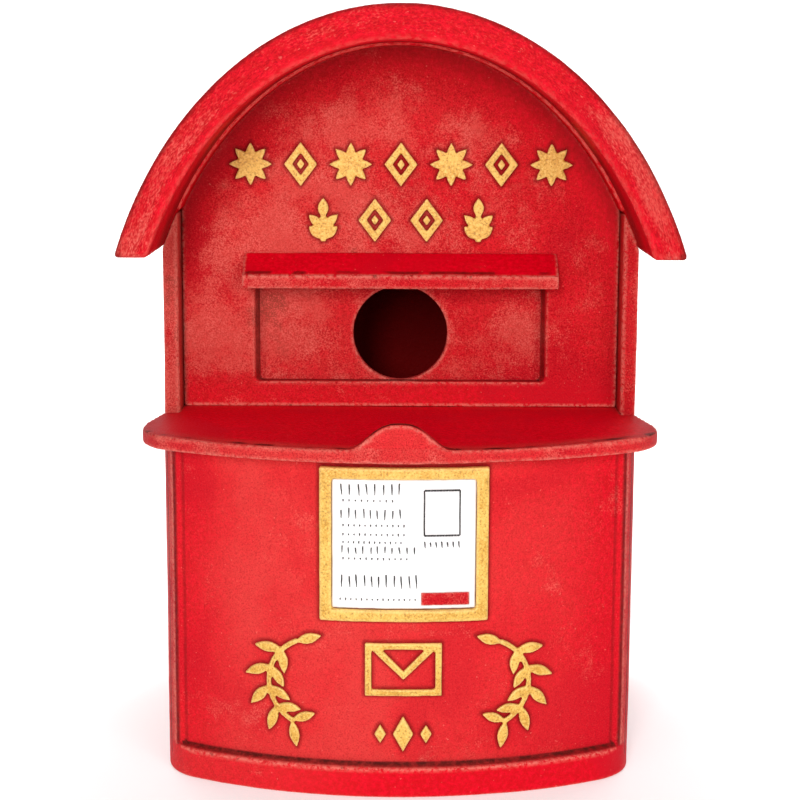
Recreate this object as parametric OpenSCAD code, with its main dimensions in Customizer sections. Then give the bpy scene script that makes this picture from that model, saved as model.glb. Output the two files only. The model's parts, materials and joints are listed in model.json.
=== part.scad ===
// Letter-box-shaped bird nesting box in painted resin, with a clean-out door in its back.
// X is the width, Y the depth with the front towards -Y, Z up. The origin is the middle of
// the footprint, on the surface that the box stands on.

/* [Body] */
// Width over the two side walls
body_w = 157; // [150:1:162]
// Thickness of the side walls and of the bowed front
wall_t = 5; // [4:0.1:6.5]
// Depth from the front edge of the shelf to the wall that the box hangs on
total_d = 140; // [134:1:160]
// Thickness of the floor
floor_t = 6; // [4:0.5:8]
// Distance from the front of the shelf back to the front edges of the side walls
wall_front_inset = 60; // [56:1:64]

/* [Entrance] */
// Diameter of the entrance hole
hole_d = 32; // [26:1:36]
// Height of the middle of the entrance hole
hole_z = 138; // [136:1:142]
// Width of the sunk rectangle around the hole
recess_w = 99; // [90:1:104]
// Height of the sunk rectangle around the hole
recess_h = 32.4; // [32.2:0.2:36]
// How far the upper panel lies behind the front edges of the side walls
panel_inset = 13; // [10:0.5:20]

/* [Roof] */
// Half width of the roof's outer ellipse
roof_a = 96; // [94:0.5:98]
// Height of the roof's outer ellipse above its centre
roof_b = 124; // [118:0.5:128]
// Height of the ellipse's centre
roof_z = 122; // [120:1:124]
// Thickness of the roof at its top
roof_t = 11; // [9:0.5:12]
// Thickness of the roof at its sides
roof_side_t = 10; // [8:0.5:11]
// Overhang of the roof in front of the side walls
roof_over = 37; // [30:1:40]

/* [Shelf] */
// Height of the shelf's upper face
shelf_z = 113.3; // [112:0.1:115]
// Thickness of the shelf
shelf_t = 5.2; // [4:0.2:6]
// How far the shelf stands proud of the bowed front
shelf_over = 5; // [3.5:0.5:6]
// Height of the bell-shaped lip on the shelf's front edge
lip_h = 7.8; // [5:0.2:10]

/* [Bowed front] */
// Radius of the bow in plan
bow_r = 140; // [135:1:150]
// Radius of the bow's two upright corners
corner_r = 20; // [16:1:22]
// Half width of the bow at its corners, in front of the side walls
corner_hw = 75.6; // [74.8:0.2:76.4]
// Depth of the sunk field in the bowed front
field_d = 2.5; // [2:0.1:3]

/* [Door] */
// Half width of the door opening
door_half = 42; // [38:1:46]
// Height of the door opening's lower edge
door_z0 = 14; // [12:1:18]
// Height of the door opening's upper edge
door_z1 = 104; // [96:1:106]
// Gap round the door
door_gap = 0.4; // [0.35:0.05:0.6]

/* [Hidden] */
$fn = 64;

hw = body_w / 2;
inner_hw = hw - wall_t;
rear_y = total_d / 2;
shelf_y = -total_d / 2;
wall_y = shelf_y + wall_front_inset;
field_y = wall_y + panel_inset;
panel_t = 4;
plate_y = field_y + panel_t;
plate_t = 5;
roof_y = wall_y - roof_over;
// The roof's inner ellipse meets the outer faces of the walls at the eaves.
soffit_a = roof_a - roof_side_t;
soffit_b = roof_b - roof_t;
eaves_z = roof_z + soffit_b * sqrt(1 - pow(hw / soffit_a, 2));
top_z = roof_z + roof_b;

// Plan of the bowed front: one large arc between two corner arcs, and straight sides that run
// out to the walls' front corners.
bow_y = shelf_y + shelf_over + bow_r;
corner_x = corner_hw - corner_r;
corner_y = bow_y - sqrt(pow(bow_r - corner_r, 2) - pow(corner_x, 2));
bow_field_r = bow_r - field_d;
field_hw = hw - 8;
base_border = 10;

// Plan of the shelf: its own arc, and two round ends that stand out past the walls.
shelf_r = bow_r + shelf_over;
shelf_end_r = 20;
shelf_end_x = hw + 4 - shelf_end_r;
shelf_end_y = bow_y - sqrt(pow(shelf_r - shelf_end_r, 2) - pow(shelf_end_x, 2));
shelf_under = shelf_z - shelf_t;

// The back lies in from the rear plane, so that the button and the pull stay inside it.
back_t = 5.2;
back_y = rear_y - 4 - back_t;
door_axis_x = -door_half + door_gap + back_t / 2;
door_axis_y = back_y + back_t / 2;
door_mid_z = (door_z0 + door_z1) / 2;
pin_r = 1;
pin_fit = 0.05;
pin_l = 10;
screw_r = 1.5;
button_x = door_half + 7;
button_gap = 0.3;
button_t = 2.3;
hanger_z = 200;
hanger_w = 46;
hanger_h = 26;
hanger_t = 1.5;
keyhole_r = 4.5;
keyhole_slot = 4.5;

notice_w = 52.4;
notice_h = 48.8;
notice_x = 1.4;
notice_top = shelf_under - 2.2;
notice_bar_w = 3.8;
frame_relief = 2.4;
plate_relief = 0.9;
relief = 1.4;

// ---------- outlines ----------

function arch_points(a, b, z0, n) = [
    for (i = [0 : n])
        let (t0 = asin((z0 - roof_z) / b), t = t0 + (180 - 2 * t0) * i / n)
            [a * cos(t), roof_z + b * sin(t)]
];

// The cross-section of the whole body below the roof.
module body_outline() {
    polygon(concat(arch_points(soffit_a, soffit_b, eaves_z, 72), [[-hw, 0], [hw, 0]]));
}

// The roof's cross-section.
module roof_band() {
    outer = arch_points(roof_a, roof_b, eaves_z, 72);
    inner = arch_points(soffit_a, soffit_b, eaves_z, 72);
    polygon(concat(outer, [for (i = [72 : -1 : 0]) inner[i]]));
}

// Extrudes an outline that is drawn in X and Z from y0 back to y1.
module prism_y(y0, y1) {
    translate([0, y1, 0]) rotate([90, 0, 0]) linear_extrude(y1 - y0) children();
}

module mirrored_x() {
    children();
    mirror([1, 0, 0]) children();
}

// The angle at which a line from the front corner of a side wall, side_x out, touches the
// round end of radius end_r at (end_x, end_y).
function touch_angle(end_r, end_x, end_y, side_x) =
    let (dx = side_x - end_x, dy = wall_y - end_y)
        atan2(dy, dx) - acos(end_r / norm([dx, dy]));

// The front of a bowed plan between the walls' front corners, side_x out: straight sides, then
// round ends at (+-end_x, end_y) that run into one large arc round (0, bow_y).
function bow_points(big_r, end_r, end_x, end_y, side_x) =
    let (from = touch_angle(end_r, end_x, end_y, side_x), join = atan2(end_y - bow_y, end_x))
        concat(
            [[side_x, wall_y]],
            [for (i = [0 : 14]) let (t = from + (join - from) * i / 14)
                [end_x + end_r * cos(t), end_y + end_r * sin(t)]],
            [for (i = [1 : 47]) let (t = join - (180 + 2 * join) * i / 48)
                [big_r * cos(t), bow_y + big_r * sin(t)]],
            [for (i = [14 : -1 : 0]) let (t = from + (join - from) * i / 14)
                [-end_x - end_r * cos(t), end_y + end_r * sin(t)]],
            [[-side_x, wall_y]]
        );

// The plan of the bowed front and the walls behind it, moved in by d.
module bow_plan(d) {
    polygon(concat(
        bow_points(bow_r - d, corner_r - d, corner_x, corner_y, hw - d),
        [[-hw + d, rear_y], [hw - d, rear_y]]
    ));
}

// The plan of the shelf in front of the side walls.
module shelf_plan() {
    polygon(bow_points(shelf_r, shelf_end_r, shelf_end_x, shelf_end_y, hw));
}

// A curved skin that lies on the sunk field of the bowed front, t thick.
module field_skin(z0, z1, t) {
    intersection() {
        translate([0, bow_y, z0]) difference() {
            cylinder(r = bow_field_r + t, h = z1 - z0, $fn = 360);
            translate([0, 0, -1]) cylinder(r = bow_field_r, h = z1 - z0 + 2, $fn = 360);
        }
        translate([-field_hw, shelf_y, z0]) cube([2 * field_hw, wall_front_inset, z1 - z0]);
    }
}

// Puts a flat relief on the sunk field of the bowed front.
module on_field(t) {
    intersection() {
        prism_y(shelf_y, wall_y) children();
        field_skin(base_border, shelf_under, t);
    }
}

// Puts a flat relief on the upper panel.
module on_panel() {
    prism_y(field_y - relief, field_y) children();
}

// ---------- ornament outlines ----------

// A leaf with pointed ends, standing on the origin.
module leaf(l, w) {
    steps = 8;
    polygon(concat(
        [for (i = [0 : steps]) [w / 2 * sin(180 * i / steps), l * i / steps]],
        [for (i = [steps - 1 : -1 : 1]) [-w / 2 * sin(180 * i / steps), l * i / steps]]
    ));
}

// A bent bar of radius r and width w, from the angle start over sweep.
module bent_bar(r, w, start, sweep) {
    steps = 16;
    polygon(concat(
        [for (i = [0 : steps]) let (t = start + sweep * i / steps) (r + w / 2) * [cos(t), sin(t)]],
        [for (i = [steps : -1 : 0]) let (t = start + sweep * i / steps) (r - w / 2) * [cos(t), sin(t)]]
    ));
}

module lozenge(w, h) {
    polygon([[-w / 2, 0], [0, -h / 2], [w / 2, 0], [0, h / 2]]);
}

// A flower of eight narrow petals round a button.
module flower() {
    circle(2.3, $fn = 32);
    for (turn = [0 : 45 : 315]) rotate(turn) leaf(7.2, 2.9);
}

module open_lozenge() {
    difference() {
        lozenge(11, 14.6);
        lozenge(5.6, 7.6);
    }
    lozenge(2.6, 3.6);
}

module twig() {
    translate([-0.9, -7.2]) square([1.8, 9]);
    translate([0, 0.6]) leaf(6.8, 3.6);
    for (level = [-6.4, -2.6]) {
        mirrored_x() translate([0, level]) rotate(-48) leaf(6.6, 3);
    }
}

// A curved sprig: a bent stem with a leaf at its tip and pairs of leaves along it.
sprig_r = 14.5;
sprig_pairs = 5;
module sprig() {
    start = 112;
    sweep = 132;
    bent_bar(sprig_r, 1.5, start, sweep);
    for (i = [0 : sprig_pairs - 1]) {
        rotate(start + 8 + sweep * (i + 0.55) / sprig_pairs) translate([sprig_r, 0]) {
            rotate(-50) leaf(9, 3.3);
            rotate(50) leaf(8, 3);
        }
    }
    rotate(start + 2) translate([sprig_r, 0]) rotate(172) leaf(8.6, 3.3);
}

module envelope() {
    w = 24;
    h = 17;
    line = 2;
    difference() {
        square([w, h], center = true);
        square([w - 2 * line, h - 2 * line], center = true);
    }
    mirrored_x() polygon([
        [-w / 2 + line - 0.5, h / 2 - line + 0.5], [-w / 2 + line + 2.6, h / 2 - line + 0.5],
        [0, -0.6], [0, -3.2]
    ]);
}

// ---------- shell ----------

module wall(side) {
    color("crimson") prism_y(wall_y, rear_y) intersection() {
        body_outline();
        translate([side > 0 ? inner_hw : -hw, 0]) square([wall_t, top_z]);
    }
}

module left_wall() {
    wall(-1);
}

module right_wall() {
    wall(1);
}

module floor() {
    drain_r = 3;
    color("firebrick") difference() {
        linear_extrude(floor_t) intersection() {
            bow_plan(wall_t);
            translate([-inner_hw, shelf_y]) square([2 * inner_hw, back_y - shelf_y]);
        }
        for (x = [-45, 45], y = [-20, 40]) {
            translate([x, y, -1]) cylinder(r = drain_r, h = floor_t + 2);
        }
    }
}

module upper_front_panel() {
    color("crimson") prism_y(field_y, plate_y) difference() {
        intersection() {
            body_outline();
            translate([-inner_hw, shelf_z]) square([2 * inner_hw, top_z]);
        }
        translate([-recess_w / 2, hole_z - recess_h / 2]) square([recess_w, recess_h]);
    }
}

module entrance_plate() {
    rim = 6;
    color("crimson") difference() {
        translate([-recess_w / 2 - rim, plate_y, hole_z - recess_h / 2 - rim])
            cube([recess_w + 2 * rim, plate_t, recess_h + 2 * rim]);
        translate([0, plate_y - 1, hole_z]) rotate([-90, 0, 0])
            cylinder(d = hole_d, h = plate_t + 2, $fn = 96);
    }
}

// A sloping canopy along the upper edge of the sunk rectangle.
module entrance_hood() {
    hood_w = recess_w + 6;
    reach = 10.5;
    lip_bottom = hole_z + recess_h / 2 + 0.4;
    lip_top = lip_bottom + 4.4;
    back_top = lip_top + 6.8;
    color("crimson") translate([-hood_w / 2, 0, 0]) rotate([90, 0, 90]) linear_extrude(hood_w)
        polygon([
            [field_y, lip_bottom], [field_y - reach, lip_bottom],
            [field_y - reach, lip_top], [field_y, back_top]
        ]);
}

module landing_shelf() {
    lip_half = 16;
    lip_t = 5;
    steps = 24;
    color("red") {
        translate([0, 0, shelf_under]) linear_extrude(shelf_t) {
            shelf_plan();
            translate([-inner_hw, wall_y - 1]) square([2 * inner_hw, plate_y - wall_y + 1]);
        }
        intersection() {
            prism_y(shelf_y, shelf_y + 12) polygon(concat(
                [for (i = [-steps : steps])
                    [lip_half * i / steps,
                     shelf_z + lip_h * (0.5 + 0.5 * cos(180 * pow(abs(i) / steps, 1.3)))]],
                [[lip_half, shelf_under + 1], [-lip_half, shelf_under + 1]]
            ));
            translate([0, 0, shelf_under]) linear_extrude(shelf_t + lip_h + 1) difference() {
                shelf_plan();
                translate([0, lip_t]) shelf_plan();
            }
        }
    }
}

module lower_front_panel() {
    color("crimson") difference() {
        linear_extrude(shelf_under) difference() {
            bow_plan(0);
            bow_plan(wall_t);
            translate([-body_w, wall_y]) square([2 * body_w, total_d]);
        }
        // the sunk field
        difference() {
            translate([-field_hw, shelf_y, base_border])
                cube([2 * field_hw, wall_front_inset, shelf_under]);
            translate([0, bow_y, 0]) cylinder(r = bow_field_r, h = top_z, $fn = 360);
        }
    }
}

module roof() {
    color("red") prism_y(roof_y, rear_y) roof_band();
}

// ---------- back ----------

module back_outline() {
    intersection() {
        body_outline();
        translate([-inner_hw, 0]) square([2 * inner_hw, top_z]);
    }
}

module door_pin_holes(r) {
    for (z = [door_z0, door_z1]) {
        translate([door_axis_x, door_axis_y, z - pin_l / 2]) cylinder(r = r, h = pin_l);
    }
}

// Places of the screws that hold the back to the two cleats.
module at_back_screws() {
    for (x = [-1, 1], z = [30, 150]) {
        translate([x * (inner_hw - 5), back_y + back_t, z]) rotate([-90, 0, 0]) children();
    }
}

module at_hanger_screws() {
    for (x = [-1, 1]) {
        translate([x * (hanger_w / 2 - 5), rear_y, hanger_z]) rotate([-90, 0, 0]) children();
    }
}

module back_panel() {
    head_room = 16;
    color("firebrick") difference() {
        union() {
            prism_y(back_y, back_y + back_t) back_outline();
            // the boss behind the hanger plate
            translate([-hanger_w / 2, back_y, hanger_z - hanger_h / 2])
                cube([hanger_w, rear_y - hanger_t - back_y, hanger_h]);
        }
        translate([-door_half, back_y - 1, door_z0])
            cube([2 * door_half, back_t + 2, door_z1 - door_z0]);
        // room for the head of the wall screw
        translate([-head_room / 2, rear_y - hanger_t - 6, hanger_z - 9])
            cube([head_room, 10, 18]);
        door_pin_holes(pin_r);
        at_back_screws() translate([0, 0, -back_t - 1]) cylinder(r = screw_r, h = back_t + 2);
        at_hanger_screws() translate([0, 0, -9]) cylinder(r = screw_r, h = 9);
        translate([button_x, back_y - 1, door_mid_z]) rotate([-90, 0, 0])
            cylinder(r = screw_r, h = back_t + 2);
    }
}

module cleat(side) {
    size = 10;
    cleat_z0 = floor_t;
    cleat_z1 = 162;
    color("sienna") difference() {
        translate([side > 0 ? inner_hw - size : -inner_hw, back_y - size, cleat_z0])
            cube([size, size, cleat_z1 - cleat_z0]);
        at_back_screws() translate([0, 0, -14]) cylinder(r = screw_r, h = 14);
    }
}

module left_cleat() {
    cleat(-1);
}

module right_cleat() {
    cleat(1);
}

// A pan-head screw that points to -Z, with the underside of its head at the origin.
module pan_screw(head_r, head_h, l) {
    difference() {
        union() {
            cylinder(r = head_r, h = head_h, $fn = 32);
            translate([0, 0, -l]) cylinder(r = screw_r, h = l + head_h / 2);
        }
        translate([-head_r, -0.35, head_h * 0.5]) cube([2 * head_r, 0.7, head_h]);
    }
}

module back_panel_screws() {
    color("silver") at_back_screws() pan_screw(2.9, 1.6, 13);
}

module clean_out_door() {
    door_x0 = door_axis_x;
    door_x1 = door_half - door_gap;
    z0 = door_z0 + door_gap;
    z1 = door_z1 - door_gap;
    color("red") difference() {
        union() {
            translate([door_x0, back_y, z0]) cube([door_x1 - door_x0, back_t, z1 - z0]);
            translate([door_axis_x, door_axis_y, z0]) cylinder(d = back_t, h = z1 - z0);
        }
        door_pin_holes(pin_r + pin_fit);
        translate([door_half - 12, back_y + 1, door_mid_z]) rotate([-90, 0, 0])
            cylinder(r = screw_r, h = back_t);
    }
}

module door_hinge_pins() {
    color("silver") door_pin_holes(pin_r);
}

// A small turned pull, held by its own spigot in the door.
module door_pull() {
    color("silver") translate([door_half - 12, back_y + back_t, door_mid_z]) rotate([-90, 0, 0]) {
        cylinder(r = 3, h = 1.6);
        translate([0, 0, 1.6]) cylinder(r1 = 3, r2 = 4.6, h = 0.9);
        translate([0, 0, 2.5]) cylinder(r = 4.6, h = 1);
        translate([0, 0, -back_t + 1]) cylinder(r = screw_r, h = back_t);
    }
}

module turn_button() {
    l = 24;
    w = 8;
    color("silver") translate([button_x, back_y + back_t + button_gap, door_mid_z])
        rotate([-90, 0, 0]) difference() {
            union() {
                translate([-w / 2, -(l - w) / 2, 0]) cube([w, l - w, button_t]);
                for (end = [-1, 1]) {
                    translate([0, end * (l - w) / 2, 0]) cylinder(d = w, h = button_t);
                }
            }
            translate([0, 0, -1]) cylinder(r = screw_r + pin_fit, h = button_t + 2);
        }
}

module turn_button_screw() {
    head_y = back_y + back_t + 2 * button_gap + button_t;
    color("silver") translate([button_x, head_y, door_mid_z]) rotate([-90, 0, 0])
        pan_screw(3, 1, back_t + button_t + 2 * button_gap - 0.5);
}

module hanger_plate() {
    color("silver") difference() {
        translate([-hanger_w / 2, rear_y - hanger_t, hanger_z - hanger_h / 2])
            cube([hanger_w, hanger_t, hanger_h]);
        translate([0, rear_y - hanger_t - 1, hanger_z - 3]) rotate([-90, 0, 0])
            cylinder(r = keyhole_r, h = hanger_t + 2);
        translate([-keyhole_slot / 2, rear_y - hanger_t - 1, hanger_z - 3])
            cube([keyhole_slot, hanger_t + 2, 9]);
        translate([0, rear_y - hanger_t - 1, hanger_z + 6]) rotate([-90, 0, 0])
            cylinder(d = keyhole_slot, h = hanger_t + 2);
        at_hanger_screws() translate([0, 0, -4]) cylinder(r = screw_r, h = 6);
        at_hanger_screws() translate([0, 0, -0.8]) cylinder(r = 2.6, h = 2);
    }
}

module hanger_screws() {
    color("silver") at_hanger_screws() translate([0, 0, -0.8]) pan_screw(2.6, 0.8, 7);
}

// ---------- front ornaments ----------

module notice_outline(inset) {
    translate([notice_x - notice_w / 2 + inset, notice_top - notice_h + inset])
        square([notice_w - 2 * inset, notice_h - 2 * inset]);
}

module notice_frame() {
    color("gold") on_field(frame_relief) difference() {
        notice_outline(0);
        notice_outline(notice_bar_w);
    }
}

module notice_plate() {
    color("white") on_field(plate_relief) notice_outline(notice_bar_w);
}

// The small round-ended bar in the lower right corner of the plate.
module notice_bar() {
    bar_w = 15;
    bar_h = 4;
    bar_x = notice_x + notice_w / 2 - notice_bar_w - 2;
    bar_z = notice_top - notice_h + notice_bar_w + 1.4;
    color("crimson") difference() {
        on_field(plate_relief + 0.6) translate([bar_x - bar_w, bar_z]) square([bar_w, bar_h]);
        on_field(plate_relief) translate([bar_x - bar_w - 1, bar_z - 1])
            square([bar_w + 2, bar_h + 2]);
    }
}

module upper_ornaments() {
    pitch = 16.7;
    row_z = hole_z + 57.2;
    color("gold") on_panel() for (i = [-3 : 3]) {
        translate([i * pitch, row_z]) {
            if (i % 2 == 0) open_lozenge();
            else flower();
        }
    }
}

module lower_ornaments() {
    pitch = 17.3;
    row_z = hole_z + 38.7;
    color("gold") on_panel() for (i = [0 : 3]) {
        translate([(i - 1.5) * pitch, row_z]) {
            if (i == 0 || i == 3) twig();
            else open_lozenge();
        }
    }
}

sprig_x = 26.5;
sprig_z = 36.2;
module left_sprig() {
    color("gold") on_field(relief) translate([-sprig_x, sprig_z]) sprig();
}

module right_sprig() {
    color("gold") mirror([1, 0, 0]) left_sprig();
}

module envelope_ornament() {
    color("gold") on_field(relief) translate([notice_x, 41.5]) envelope();
}

module lozenge_ornaments() {
    color("gold") on_field(relief) {
        translate([notice_x, 20.5]) lozenge(6.4, 11.5);
        for (x = [-7.2, 7.2]) translate([notice_x + x, 20.5]) lozenge(3.6, 6);
    }
}

left_wall();
right_wall();
floor();
upper_front_panel();
entrance_plate();
entrance_hood();
landing_shelf();
lower_front_panel();
roof();
back_panel();
left_cleat();
right_cleat();
back_panel_screws();
clean_out_door();
door_hinge_pins();
door_pull();
turn_button();
turn_button_screw();
hanger_plate();
hanger_screws();
notice_frame();
notice_plate();
notice_bar();
upper_ornaments();
lower_ornaments();
left_sprig();
right_sprig();
envelope_ornament();
lozenge_ornaments();
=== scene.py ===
"""Looks of a letter-box-shaped nesting box in hand-painted cast resin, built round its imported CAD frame.

Lengths are in metres unless a name ends in _mm. Each resin node is recast as an even mesh with
softened, slightly uneven edges; its paint reads how worn or how deep in a corner each point is.
"""

import json
import math
import random

import bmesh
import bpy
import numpy as np
from mathutils import Euler, Matrix, Vector, noise
from mathutils.bvhtree import BVHTree

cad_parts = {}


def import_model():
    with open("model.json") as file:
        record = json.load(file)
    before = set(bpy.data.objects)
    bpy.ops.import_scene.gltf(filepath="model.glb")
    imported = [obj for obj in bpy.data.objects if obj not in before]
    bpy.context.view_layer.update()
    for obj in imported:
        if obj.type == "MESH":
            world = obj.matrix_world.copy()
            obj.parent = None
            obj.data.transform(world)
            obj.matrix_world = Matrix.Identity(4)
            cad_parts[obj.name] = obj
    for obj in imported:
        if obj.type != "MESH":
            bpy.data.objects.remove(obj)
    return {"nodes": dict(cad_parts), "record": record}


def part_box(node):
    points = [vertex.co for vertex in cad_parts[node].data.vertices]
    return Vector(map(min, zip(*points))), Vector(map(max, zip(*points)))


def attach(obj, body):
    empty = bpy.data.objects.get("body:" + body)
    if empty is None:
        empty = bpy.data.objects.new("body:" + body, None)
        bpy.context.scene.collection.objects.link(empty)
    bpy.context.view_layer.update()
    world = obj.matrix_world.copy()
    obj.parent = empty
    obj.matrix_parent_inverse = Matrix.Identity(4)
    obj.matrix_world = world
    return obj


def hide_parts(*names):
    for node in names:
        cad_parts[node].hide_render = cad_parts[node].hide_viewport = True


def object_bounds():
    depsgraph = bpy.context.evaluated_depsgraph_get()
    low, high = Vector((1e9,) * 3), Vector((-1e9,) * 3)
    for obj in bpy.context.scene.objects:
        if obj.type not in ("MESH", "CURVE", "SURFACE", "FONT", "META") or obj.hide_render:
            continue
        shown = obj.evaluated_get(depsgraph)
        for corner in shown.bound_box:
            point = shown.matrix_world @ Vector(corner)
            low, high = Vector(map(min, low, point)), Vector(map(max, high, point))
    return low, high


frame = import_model()
cad_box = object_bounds()
MM = 0.001
random.seed(7)

# ---------- places taken from the frame ----------

WALL_LO, WALL_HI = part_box("right_wall")
PANEL_LO, PANEL_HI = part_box("upper_front_panel")
PLATE_LO, PLATE_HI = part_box("entrance_plate")
SHELF_LO, SHELF_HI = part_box("landing_shelf")
FRONT_LO, FRONT_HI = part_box("lower_front_panel")
ROOF_LO, ROOF_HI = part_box("roof")
BACK_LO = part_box("back_panel")[0]
HOOD_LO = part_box("entrance_hood")[0]
NOTICE_LO, NOTICE_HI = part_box("notice_plate")
DOOR_LO, DOOR_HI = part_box("clean_out_door")
FLOOR_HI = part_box("floor")[1]

MOUNTS = {m["name"]: m for m in frame["record"]["mounts"]}
HOLE = Vector(MOUNTS["entrance_hole"]["pos_m"])
HOLE_R = MOUNTS["entrance_hole"]["dims"]["r_mm"] * MM
INNER_HW = WALL_LO.x
WALL_T = WALL_HI.x - WALL_LO.x

# The shelf without its lip, and half the width of the lip that stands up in its middle.
SHELF_T = 0.0052
SHELF_TOP = SHELF_LO.z + SHELF_T
LIP_HW = 0.016

# Half the width of the sunk rectangle round the entrance hole.
RECESS_HW = (PLATE_HI.x - PLATE_LO.x) / 2 - 0.006

# The bowed front's plan: a large arc round (0, BOW_Y) between two corner arcs.
BOW_R = 0.140
BOW_Y = FRONT_LO.y + BOW_R
CORNER_R = 0.020
CORNER_X = 0.0756 - CORNER_R
CORNER_Y = BOW_Y - math.sqrt((BOW_R - CORNER_R) ** 2 - CORNER_X ** 2)

# Where the shelf's front edge is rubbed, from the middle of the same bow.
SHELF_EDGE_R = BOW_R + 0.0047

# The sunk field of the lower front, and how far the notice plate stands out from it.
FIELD_DEPTH = 0.0025
FIELD_R = BOW_R - FIELD_DEPTH
FIELD_HW = WALL_HI.x - 0.008
FIELD_Z = 0.010
FIELD_SLOPE = 0.0017
PLATE_PROUD = 0.0009

# The roof's section is a pair of ellipses round one centre, in X and Z.
ROOF_A = 0.096
ROOF_B = 0.124
ARCH_Z = ROOF_HI.z - ROOF_B
SOFFIT_A = ROOF_A - 0.010
SOFFIT_B = ROOF_B - 0.011


# ---------- small mesh tools ----------


def new_object(name, mesh):
    obj = bpy.data.objects.new(name, mesh)
    bpy.context.scene.collection.objects.link(obj)
    return obj


def bmesh_object(name, bm):
    """A new smooth-shaded object made from bm, with its faces turned outwards."""
    mesh = bpy.data.meshes.new(name)
    bmesh.ops.recalc_face_normals(bm, faces=bm.faces)
    for face in bm.faces:
        face.smooth = True
    bm.to_mesh(mesh)
    bm.free()
    return new_object(name, mesh)


def apply_modifiers(obj):
    dg = bpy.context.evaluated_depsgraph_get()
    mesh = bpy.data.meshes.new_from_object(obj.evaluated_get(dg), depsgraph=dg)
    obj.modifiers.clear()
    obj.data = mesh


def points_of(mesh):
    co = np.empty(len(mesh.vertices) * 3, np.float32)
    mesh.vertices.foreach_get("co", co)
    return co.reshape(-1, 3).astype(float)


def normals_of(mesh):
    no = np.empty(len(mesh.vertices) * 3, np.float32)
    mesh.vertex_normals.foreach_get("vector", no)
    return no.reshape(-1, 3).astype(float)


def set_points(mesh, co):
    mesh.vertices.foreach_set("co", co.astype(np.float32).ravel())
    mesh.update()


def smoothstep(x, lo, hi):
    t = np.clip((x - lo) / (hi - lo), 0, 1)
    return t * t * (3 - 2 * t)


def roof_level(x, z):
    """1 on the roof's outer ellipse, less inside it."""
    return np.hypot((z - ARCH_Z) / ROOF_B, x / ROOF_A)


def soffit_level(x, z):
    """1 on the soffit's ellipse, less inside it."""
    return np.hypot((z - ARCH_Z) / SOFFIT_B, x / SOFFIT_A)


def cad_copy(node):
    """A welded copy of a CAD node's mesh with its flat faces whole again."""
    bm = bmesh.new()
    bm.from_mesh(frame["nodes"][node].data)
    bmesh.ops.remove_doubles(bm, verts=bm.verts, dist=2e-6)
    return bm


def wavy(co, size, depth, seed=0):
    """Heights of slow hand-modelled waves about size across, at most about depth high."""
    shift = Vector((seed * 3.1, seed * 1.7, seed * 2.3))
    return np.array([noise.noise(Vector(p) / size + shift) for p in co]) * depth


# ---------- wear and dirt, worked out from the shapes ----------


def neighbour_mean(values, edges, count):
    """The mean of each point's neighbours, for one value or several at each point."""
    total = np.zeros(values.shape)
    for a, b in ((0, 1), (1, 0)):
        if values.ndim == 1:
            total += np.bincount(edges[:, a], weights=values[edges[:, b]], minlength=len(values))
        else:
            for k in range(values.shape[1]):
                total[:, k] += np.bincount(
                    edges[:, a], weights=values[edges[:, b], k], minlength=len(values)
                )
    return total / (count[:, None] if values.ndim > 1 else count)


def closeness(co, no, tree, reach):
    """1 where a point touches the tree's surfaces, 0 from reach away."""
    near = np.zeros(len(co))
    lift = 0.0002
    for i, p in enumerate(co):
        place, _, _, distance = tree.find_nearest(Vector(p + no[i] * lift), reach)
        if place is not None:
            near[i] = 1 - distance / reach
    return near


def paint_masks(obj, node):
    """Stores what the paint reads at each point.

    wear is how convex the point is, crevice how deep in a corner with painted shade added,
    join how near another piece, and brush and rose are how much dry-brushed pale and rosy
    glaze it has, both partly painted light and shade.
    """
    mesh = obj.data
    co = points_of(mesh)
    no = normals_of(mesh)
    edges = np.empty(len(mesh.edges) * 2, np.int32)
    mesh.edges.foreach_get("vertices", edges)
    edges = edges.reshape(-1, 2)
    count = np.maximum(np.bincount(edges.ravel(), minlength=len(co)), 1)
    step = np.linalg.norm(co[edges[:, 0]] - co[edges[:, 1]], axis=1).mean()
    bend = -((neighbour_mean(co, edges, count) - co) * no).sum(1) / step
    for _ in range(2):
        bend = 0.5 * bend + 0.5 * neighbour_mean(bend, edges, count)
    line = arris_wear(node, co)
    wear = np.maximum(smoothstep(bend, 0.03, 0.12), line)
    # how deep in a corner, with the real glaze and the painted shade added
    hollow_and_shade = np.maximum(smoothstep(-bend, 0.03, 0.12), glaze_and_painted_shade(node, co, no))
    join = np.zeros(len(co))
    for relief, reach, depth in ((False, 0.0012, 0.35), (True, 0.0017, 1.0)):
        tree = neighbours(node, relief)
        if node in RELIEF:
            reach, depth = 0.0006, 0.8
        if tree is not None:
            join = np.maximum(join, depth * closeness(co, no, tree, reach))
    if node == "roof":
        # the roof's outer arris is glazed dark instead of rubbed
        level = roof_level(co[:, 0], co[:, 2])
        arris = wear * smoothstep(level, 0.965, 0.985)
        hollow_and_shade = np.maximum(hollow_and_shade, 0.6 * arris)
        wear = (wear - arris) * 0.25
    store(mesh, "wear", wear)
    store(mesh, "crevice_and_shade", hollow_and_shade)
    store(mesh, "join", join * (1 - 0.85 * line))
    brush = brushing_and_painted_light(node, co, no)
    store(mesh, "brush", brush)
    store(mesh, "rose_and_sheen", rosiness_and_sheen(node, co, brush))
    return co, no


def store(mesh, name, values):
    """Keeps one number or one vector for each point, for the materials to read."""
    kind = "FLOAT" if values.ndim == 1 else "FLOAT_VECTOR"
    key = "value" if values.ndim == 1 else "vector"
    layer = mesh.attributes.new(name, kind, "POINT")
    layer.data.foreach_set(key, values.astype(np.float32).ravel())


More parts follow.
